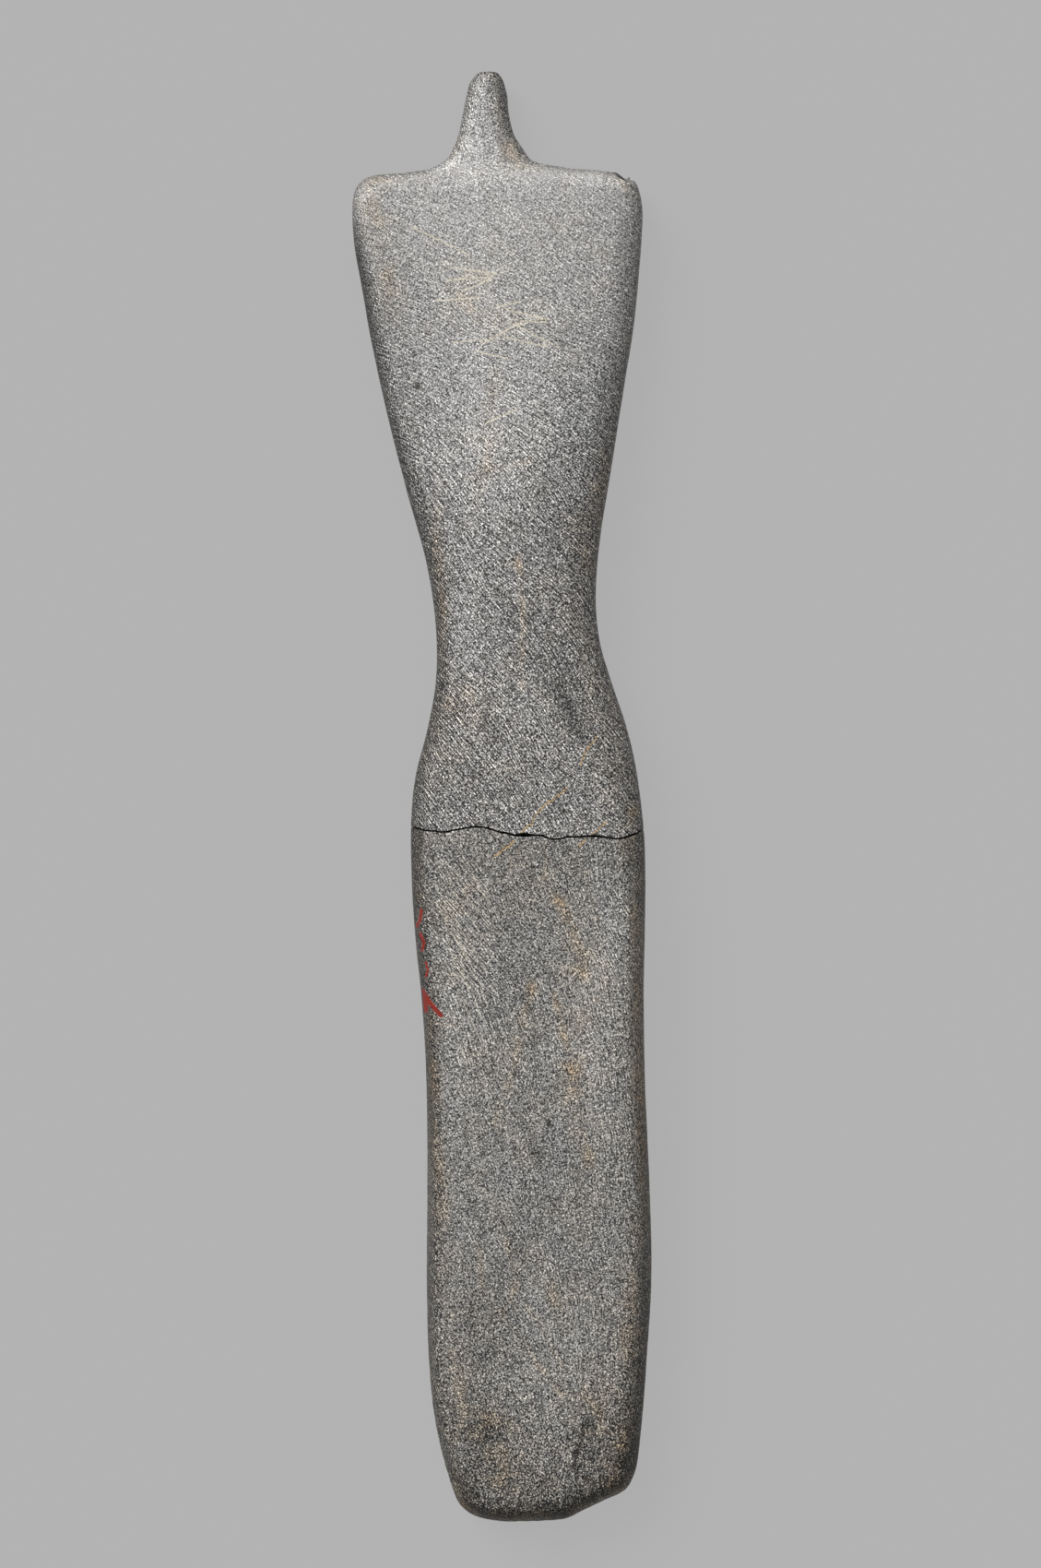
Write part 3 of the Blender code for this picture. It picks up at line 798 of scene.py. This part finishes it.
# The flake's scar ends on a short straight bite in the outline, with a spur to the right of it
bite_run = np.array(BITE_END) - BITE_START
aside = np.array([-bite_run[1], bite_run[0]]) / np.hypot(*bite_run)
from_bite = loops[..., :2] - middle - BITE_START
along_bite = (from_bite @ bite_run) / (bite_run @ bite_run)
past_bite = from_bite @ aside
on_bite = soft_step(-0.1, 0.0, along_bite) * soft_step(1.06, 0.98, along_bite)
loops[..., :2] -= (on_bite * np.maximum(past_bite, 0.0))[..., None] * aside
scar_height = BITE_HEIGHT - BITE_SLOPE * np.minimum(past_bite, 0.0)
loops[..., 2] = np.where(on_bite > 0.5, np.minimum(loops[..., 2], scar_height), loops[..., 2])
# The strip of the scar's face beside the bite gets painted shade
on_scar = on_bite * soft_step(-0.75, -0.45, past_bite) * is_front

pecked = soft_step(209.0, 217.0, level) * 0.5 + 0.06
loops = weathered(loops, pecked)
loops[..., 2] = np.maximum(loops[..., 2], 0.0)
scratch_side, scratch = line_offsets(place, SCRATCHES, 0.7)
vein_side, vein = line_offsets(place, UPPER_VEINS, 0.9)

# The tone falls off towards the outline, most on the left: partly painted shade of the sloping sides and
# partly a darker patina on them. The right side of the torso is darker again in painted shade where the
# front curves away from the lamp, and each side has soft stripes of its own. Under the rim, where the
# sides turn in towards the back, it comes back to what it is on the front
edge = soft_step(3.2, 0.2, inward)
right = soft_step(-1.5, 1.5, across)
left = 1 - right
body = 1 - head
under_rim = soft_step(1.0, 0.5, (height - back_height(level)) / (RIM_SHARE * front_height(level)))
tone = by_level(level, UPPER_TONE) + spots(place, UPPER_SHADES) + trails(place, UPPER_LINES)
tone += 0.15 * edge * under_rim
tone -= (0.32 - 0.28 * soft_step(-6.0, 6.0, across)) * edge * soft_step(93.0, 80.0, along)
tone -= head * 0.20 * soft_step(1.5, 0.2, inward)
tone -= body * 0.06 * soft_step(2.0, 0.2, inward) * soft_step(90.0, 93.0, along)
tone += body * right * 0.07 * stripe(inward, 2.1, 1.1) * front_only
tone -= body * right * 0.05 * soft_step(0.9, 0.3, inward)
tone -= body * right * 0.03 * soft_step(5.0, 1.0, inward)
tone -= body * left * 0.03 * stripe(inward, 3.2, 1.2) * front_only
tone += body * left * 0.04 * stripe(inward, 1.2, 0.8) * front_only
tone -= body * left * 0.095 * soft_step(2.4, 0.2, inward) * soft_step(62.0, 84.0, along)
tone -= body * left * 0.04 * soft_step(1.0, 0.2, inward) * soft_step(30.0, 50.0, along)
warm = 0.06 + 0.05 * waves(loops, 5.0, 31) + 0.06 * edge + 0.05 * soft_step(50.0, 20.0, along)
warm += spots(place, UPPER_WARMTH) + trails(place, UPPER_TRAILS)
upper_traits = {
    "grain_turn": np.radians(by_level(level, UPPER_TURN)),
    "contrast": by_level(level, UPPER_CONTRAST) + 0.5 * edge,
    "combed": by_level(level, UPPER_COMBED) + spots(place, UPPER_COMBING),
    "tone": tone,
    "warm": warm,
    "coarse": 0.15 * pecked,
    "scratch_side": scratch_side,
    "scratch": 0.95 * scratch * front_only,
    "vein_side": vein_side,
    "vein": vein * front_only,
    # Painted shade in the pits and on the scar's face
    "pit_and_scar_shade": np.clip(spots(place, UPPER_PITS) + 0.6 * on_scar, 0.0, 1.0) * front_only,
}
upper_stone = fragment_object("upper_stone", tip, loops, BREAK_GAP / 2, upper_traits)
ground_schist = stone_material(
    "ground_schist",
    streak_length=0.65,
    contrast=0.67,
    hair_tone=0.66,
    mottling=0.05,
    dark_tint=(1.005, 1.0, 0.995, 1.0),
    light_tint=(1.001, 1.0, 0.998, 1.0),
)
upper_stone.data.materials.append(ground_schist)
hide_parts("upper_fragment")
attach(upper_stone, "root")


# The lower fragment: the hips below the break and the long shaft of the legs with its blunt foot. It is
# the same schist, more worn and stained, with a flaked hollow at the foot and red brush marks on its edge.
LOWER_TONE = [
    (0.00, 0.29),
    (0.05, 0.35),
    (0.11, 0.41),
    (0.22, 0.41),
    (0.34, 0.43),
    (0.42, 0.41),
    (0.46, 0.39),
]

# The flake scar beside the foot: its left wall and its right slope, as (along, across)
SCAR_LEFT = [(-105.0, 5.6), (-103.3, 5.0), (-99.8, 5.0), (-97.8, 5.8), (-94.3, 6.6)]
SCAR_RIGHT = [(-104.0, 12.2), (-98.2, 11.6), (-97.6, 10.0), (-95.1, 9.2)]
SCAR_DEPTH = 0.38
LOWER_PIT_DEPTH = 0.30

# Marks on the lower fragment, in the same form as those on the upper one
LOWER_VEINS = [
    [(-0.9, -6.9), (-2.5, -8.1), (-3.8, -9.1)],
    [(9.8, -7.1), (9.1, -7.7)],
]
LOWER_SCRATCHES = [
    [(-12.6, -9.6), (-5.6, -21.6)],
    [(-11.4, -9.4), (-5.2, -19.2)],
    [(-13.2, -12.2), (-6.8, -24.2)],
    [(-9.2, -8.4), (-4.2, -17.0)],
    [(-12.8, -15.4), (-9.0, -23.4)],
    [(-12.4, -19.6), (-8.0, -29.6)],
    [(-10.4, -19.2), (-6.4, -28.4)],
    [(-11.6, -24.6), (-7.4, -35.4)],
    [(-9.2, -26.0), (-6.6, -33.0)],
]
LOWER_PITS = [
    (3.0, -49.4, 0.35, 0.45, 0, 0.8),
    (1.5, -53.6, 0.35, 0.30, 0, 0.5),
    (14.3, -42.1, 0.8, 0.5, 30, 0.5),
    (6.8, -103.2, 0.35, 0.5, 0, 0.8),
]
LOWER_ROUGHNESS = [
    (8.8, -24.0, 2.2, 11.0, 2, 0.8),
    (-13.5, -75.0, 2.0, 14.0, 0, 0.5),
]
LOWER_COMBING = [
    (-8.5, -22.0, 4.5, 18.0, 8, 0.8),
    (12.5, -30.0, 3.5, 30.0, 0, 0.4),
]
LOWER_SHADES = [
    (-10.0, -27.0, 2.6, 13.0, 0, 0.01),
    (12.0, -24.0, 2.4, 10.0, 0, 0.04),
    (10.2, -46.0, 1.6, 9.0, 4, 0.06),
    (9.0, -28.0, 1.6, 8.0, 4, 0.035),
    (5.5, -36.0, 1.2, 9.0, 8, 0.02),
    (-1.0, -29.0, 4.0, 9.0, 0, -0.03),
    (2.0, -84.0, 5.0, 8.0, 0, 0.03),
    (0.5, -75.0, 2.5, 3.0, 0, 0.03),
    (-11.0, -42.0, 3.0, 26.0, 0, 0.02),
    (11.0, -32.0, 3.0, 16.0, 0, 0.015),
    (2.0, -92.0, 4.0, 5.0, 0, 0.015),
    (-5.0, -70.5, 1.4, 1.4, 0, -0.05),
    (-10.0, -79.0, 1.5, 5.0, 0, -0.04),
    (-9.5, -95.5, 2.6, 5.5, 0, -0.06),
    # Painted shade inside the flake scar's hollow
    (7.3, -97.5, 1.6, 3.6, -10, -0.07),
    (8.5, -99.0, 3.0, 5.0, -8, -0.03),
    (-7.6, -95.6, 1.9, 1.8, 0, -0.12),
    # Painted shade round the two pits near the middle of the shaft
    (1.3, -53.8, 1.6, 1.0, 10, -0.07),
    (3.0, -49.4, 0.5, 0.6, 0, -0.12),
    (13.0, -13.0, 3.0, 7.0, 0, 0.02),
    (-9.0, -100.0, 3.0, 3.0, 0, -0.02),
    (-8.0, -82.0, 4.0, 9.0, 0, -0.05),
    (-14.0, -24.0, 2.0, 14.0, 0, -0.01),
    (9.5, -106.0, 3.5, 2.2, 15, 0.09),
    (14.5, -92.0, 3.0, 12.0, -12, -0.06),
    (-1.0, -99.0, 4.0, 3.5, 0, 0.02),
    (16.0, -62.0, 2.0, 24.0, 0, -0.03),
    (17.5, -9.0, 2.0, 6.0, 0, -0.03),
]
LOWER_LINES = [
    # Painted shade down the left wall of the flake scar, with pale lines along its rims
    ([(6.9, -93.6), (5.9, -97.8), (5.1, -99.8), (5.1, -103.3)], 0.5, -0.08),
    ([(6.2, -93.6), (5.2, -97.6), (4.4, -99.8)], 0.4, 0.05),
    ([(9.3, -95.1), (9.5, -96.5), (10.1, -97.6), (11.8, -98.4)], 0.35, 0.07),
    ([(-2.0, -52.4), (1.0, -53.4), (4.0, -54.8)], 0.4, -0.04),
]
LOWER_WARMTH = [
    (8.0, -24.0, 3.0, 12.0, 2, 0.12),
    (7.5, -44.0, 2.6, 8.0, 2, 0.12),
    (17.0, -5.5, 1.0, 1.6, -20, 0.45),
    (15.2, -8.0, 0.8, 0.8, 0, 0.32),
    (5.6, -16.0, 0.8, 0.8, 0, 0.45),
    (1.1, -29.0, 0.9, 1.2, 0, 0.40),
    (6.5, -41.0, 1.3, 1.5, 0, 0.60),
    (6.8, -44.5, 1.5, 2.2, 0, 0.32),
    (8.8, -54.5, 0.8, 1.4, 0, 0.32),
    (17.0, -30.0, 1.1, 17.0, 0, 0.42),
    (16.8, -52.0, 1.1, 10.0, 0, 0.40),
    (-15.0, -12.0, 1.2, 8.0, 0, 0.20),
    (-14.3, -40.0, 1.0, 10.0, 0, 0.36),
    (-13.8, -58.0, 1.4, 14.0, 0, 0.28),
    (-10.0, -17.0, 3.0, 4.0, 0, 0.14),
    (-5.2, -77.5, 0.8, 0.8, 0, 0.34),
    (2.6, -74.0, 0.8, 2.0, 0, 0.30),
    (-12.0, -84.0, 1.8, 10.0, 0, 0.12),
    (-12.2, -94.5, 0.9, 2.5, -25, 0.22),
    (-7.6, -94.5, 3.0, 2.6, 0, 0.30),
    (-6.5, -100.0, 3.0, 4.0, 0, 0.20),
    (10.0, -96.0, 3.5, 8.0, 0, 0.12),
    (-6.0, -103.5, 2.0, 1.5, 0, 0.30),
    (-11.5, -106.5, 1.0, 1.0, 0, 0.40),
    (1.0, -103.5, 1.6, 1.2, 0, 0.32),
    (14.6, -80.0, 2.0, 14.0, -5, 0.28),
    (8.8, -92.5, 1.2, 1.6, 0, 0.42),
    (12.4, -98.0, 1.6, 3.8, -18, 0.42),
    (10.0, -104.0, 1.4, 1.3, 0, 0.42),
    (6.8, -103.2, 0.5, 0.5, 0, 0.50),
]
LOWER_TRAILS = [
    ([(5.0, -15.0), (6.2, -17.5), (7.8, -20.5), (8.3, -23.5), (9.2, -27.0)], 0.7, 0.30),
    ([(9.6, -12.0), (11.4, -19.5)], 0.6, 0.14),
    ([(4.4, -29.8), (5.0, -33.0), (6.0, -38.0), (6.5, -41.0)], 0.6, 0.32),
    ([(1.0, -29.0), (-0.8, -35.0), (-2.2, -42.0), (-5.2, -48.5)], 0.7, 0.22),
    ([(-3.8, -67.0), (-2.6, -73.0), (-4.8, -77.5), (-2.4, -81.0), (0.4, -86.0), (3.6, -90.0)], 0.6, 0.24),
    ([(-1.5, -76.0), (1.0, -80.5), (3.8, -86.0)], 0.5, 0.20),
    ([(-8.6, -66.0), (-7.6, -74.0)], 0.6, 0.14),
    ([(3.6, -7.6), (4.0, -10.0), (3.4, -12.6)], 0.5, 0.22),
    ([(-2.8, -12.2), (-0.6, -9.0), (1.4, -6.4)], 0.5, 0.20),
]

# Strokes of the brush, as (points, half width). Down the steep side they die away below this height
RED_STROKES = [
    ([(-15.05, -16.6), (-15.2, -18.0), (-15.9, -19.2)], 0.22),
    ([(-15.3, -20.2), (-14.8, -21.4), (-15.1, -22.7)], 0.22),
    ([(-14.65, -24.5), (-14.35, -25.7), (-14.7, -26.6)], 0.19),
    ([(-15.25, -28.8), (-14.2, -30.6), (-12.7, -32.5)], 0.34),
    ([(-15.1, -29.6), (-15.0, -31.7)], 0.46),
]
RED_BOTTOM = 9.2
RED_FADE = 0.4
RED_PAINT = (0.50, 0.14, 0.10, 1.0)


def lower_lip(across):
    """How far the lower fragment's front edge has crumbled back from the break."""
    place = np.stack([across, 0 * across, 0 * across], axis=-1)
    return -0.05 * soft_step(0.1, 0.8, waves(place, 1.6, 22)) - 0.10 * stripe(across, 0.9, 0.8)


def red_marks(colour, put, sum_of, trait, ramp, over, grain):
    """Red paint where the distance to the strokes, less their half width, is below nil, with ragged edges."""
    ragged = sum_of("MULTIPLY_ADD", grain, 0.30, -0.15)
    share = ramp(sum_of("ADD", trait("red"), ragged), 0.08, -0.06)
    worn = sum_of("MULTIPLY", share, sum_of("MULTIPLY_ADD", grain, 1.5, 0.25, clamp=True))
    return over(colour, worn, RED_PAINT)


tip, loops, inward = stone_loops(lower_rows, -0.95 * BREAK_GAP / 2, lower_lip)
level = loops[..., 1]
height = loops[..., 2]
place = loops[..., :2] - middle
is_front = np.arange(loops.shape[1]) < FRONT_COLUMNS
front_only = np.where(is_front, 1.0, 0.0)
across, along = place[..., 0], place[..., 1]

# The flake scar: a shallow hollow with a steep left wall, open towards the foot
scar_left = np.interp(along, *zip(*SCAR_LEFT))
scar_right = np.interp(along, *zip(*SCAR_RIGHT))
in_scar = soft_step(0.0, 0.45, across - scar_left) * soft_step(0.0, 1.1, scar_right - across)
in_scar *= soft_step(-93.5, -96.0, along) * soft_step(-106.5, -104.0, along)
loops[..., 2] -= SCAR_DEPTH * in_scar * soft_step(0.2, 1.5, inward) * front_only
loops[..., 2] -= LOWER_PIT_DEPTH * spots(place, LOWER_PITS) * soft_step(0.3, 1.5, inward) * front_only

pecked = 0.25 + spots(place, LOWER_ROUGHNESS) + 0.6 * soft_step(-70.0, -100.0, along)
pecked = np.clip(pecked, 0.0, 1.0)
loops = weathered(loops, pecked)
loops[..., 2] = np.maximum(loops[..., 2], 0.0)
scratch_side, scratch = line_offsets(place, LOWER_SCRATCHES, 0.7)
vein_side, vein = line_offsets(place, LOWER_VEINS, 0.9)
from_break = np.abs(level - break_level(loops[..., 0], height))

# The tone again falls off towards the outline, partly in painted shade of the sloping sides and partly as
# a darker patina on them, with a band of painted shade round the foot's end, whose bevel faces away from
# the lamp, a pale stripe along the right bevel, and a patchy pale rim beside the break, painted highlight
# on the lip that faces the lamp
edge = soft_step(2.6, 0.2, inward)
right = soft_step(-3.0, 3.0, across)
left = 1 - right
under_rim = soft_step(1.0, 0.5, height / (RIM_SHARE * front_height(level)))
tone = by_level(level, LOWER_TONE) + spots(place, LOWER_SHADES) + trails(place, LOWER_LINES)
tone += 0.22 * edge * under_rim
tone -= (0.20 - 0.13 * soft_step(-6.0, 6.0, across)) * edge
tone -= 0.13 * soft_step(5.0, 1.8, inward) * soft_step(-97.0, -105.0, along)
tone += 0.22 * soft_step(1.8, 0.5, inward) * soft_step(-100.0, -106.0, along)
tone += right * 0.09 * stripe(inward, 1.9, 0.6) * front_only
tone -= right * 0.04 * soft_step(0.9, 0.3, inward)
tone -= right * 0.05 * soft_step(5.0, 1.0, inward)
tone -= right * 0.08 * soft_step(4.6, 2.2, inward) * soft_step(-62.0, -84.0, along)
tone -= left * 0.045 * soft_step(4.5, 1.2, inward) * soft_step(-100.0, -92.0, along)
tone -= left * 0.06 * soft_step(2.6, 1.2, inward) * soft_step(-60.0, -40.0, along)
tone += 0.08 * soft_step(0.6, 0.2, from_break) * soft_step(-0.4, 0.5, waves(loops, 2.0, 33))
contrast = 1.12 + 0.5 * edge + 0.2 * soft_step(-78.0, -100.0, along)
contrast -= 0.3 * soft_step(3.0, 1.2, inward) * soft_step(-103.0, -106.5, along)
warm = 0.13 + 0.10 * waves(loops, 4.0, 32) + 0.12 * edge + 0.08 * soft_step(-70.0, -105.0, along)
warm += 0.35 * soft_step(4.0, 1.5, inward) * soft_step(-98.0, -106.0, along)
warm += spots(place, LOWER_WARMTH) + trails(place, LOWER_TRAILS)
turn = -60.0 - 12.0 * soft_step(-6.0, 8.0, across) - 8.0 * soft_step(-20.0, -60.0, along)
to_strokes = [distance_to(np.array(points), place) - half_width for points, half_width in RED_STROKES]
red = np.minimum.reduce(to_strokes) + RED_FADE * np.maximum(RED_BOTTOM - height, 0.0)
lower_traits = {
    "grain_turn": np.radians(turn),
    "contrast": contrast,
    "combed": 0.4 + spots(place, LOWER_COMBING),
    "tone": tone,
    "warm": warm,
    "coarse": 0.18 * pecked,
    "scratch_side": scratch_side,
    "scratch": 0.42 * scratch * front_only,
    "vein_side": vein_side,
    "vein": vein * front_only,
    # Painted shade in the pits
    "pit_and_scar_shade": np.clip(spots(place, LOWER_PITS), 0.0, 1.0) * front_only,
    "red": np.clip(np.where(is_front, red, 2.0), -1.0, 2.0),
}
lower_stone = fragment_object("lower_stone", tip, loops, -BREAK_GAP / 2, lower_traits)
worn_schist = stone_material(
    "worn_schist",
    streak_length=0.65,
    contrast=0.65,
    hair_tone=0.72,
    mottling=0.14,
    dark_tint=(1.006, 1.0, 0.988, 1.0),
    light_tint=(1.001, 1.0, 0.992, 1.0),
    paint=red_marks,
)
lower_stone.data.materials.append(worn_schist)
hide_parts("lower_fragment")
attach(lower_stone, "root")
